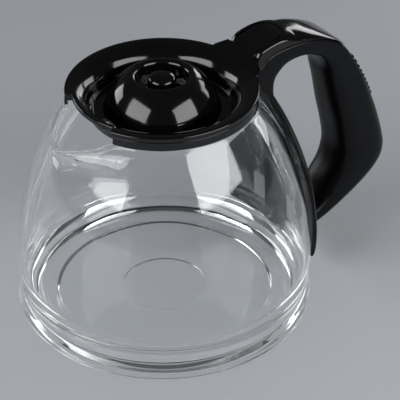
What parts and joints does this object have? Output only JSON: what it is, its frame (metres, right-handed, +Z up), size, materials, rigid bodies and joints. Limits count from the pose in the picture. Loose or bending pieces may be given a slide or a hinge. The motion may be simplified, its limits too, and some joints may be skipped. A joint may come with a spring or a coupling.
{
  "type": "coffee server carafe",
  "caption": "Clear bell-shaped glass jug with a pulled spout, a black hinged brew-through lid with a domed insert and thumb lever, and a black loop handle on a curved back plate.",
  "frame": {"origin": "on the jug's axis, in the plane it stands on", "axes": "+Z up along the jug's axis, +X toward the handle, so the spout points along -X"},
  "size_m": [0.2176, 0.1552, 0.1375],
  "materials": {
    "clear_glass": "clear blown",
    "gloss_black": "polished moulded",
    "soft_black": "soft-touch moulded",
    "ribbed_rubber": "matte",
    "grey_silicone": "translucent matte",
    "plated_steel": "zinc plated"
  },
  "bodies": {
    "jug": {"glass_body": "clear_glass", "neck_collar": "gloss_black", "clamp_nut": "plated_steel", "clamp_screw": "plated_steel", "back_shield": "soft_black", "shield_pads": "grey_silicone", "shield_screws": "plated_steel", "handle_grip": "soft_black", "handle_cap": "gloss_black", "grip_pad": "ribbed_rubber", "hinge_pin": "plated_steel"},
    "lid": {"lid_ring": "gloss_black", "lid_dome": "gloss_black", "drip_post": "gloss_black"}
  },
  "joints": [
    {"name": "lid_hinge", "type": "hinge", "parent": "jug", "child": "lid", "pos_m": [0.061, 0, 0.126], "axis": [0, 1, 0], "range_deg": [0, 75]}
  ]
}
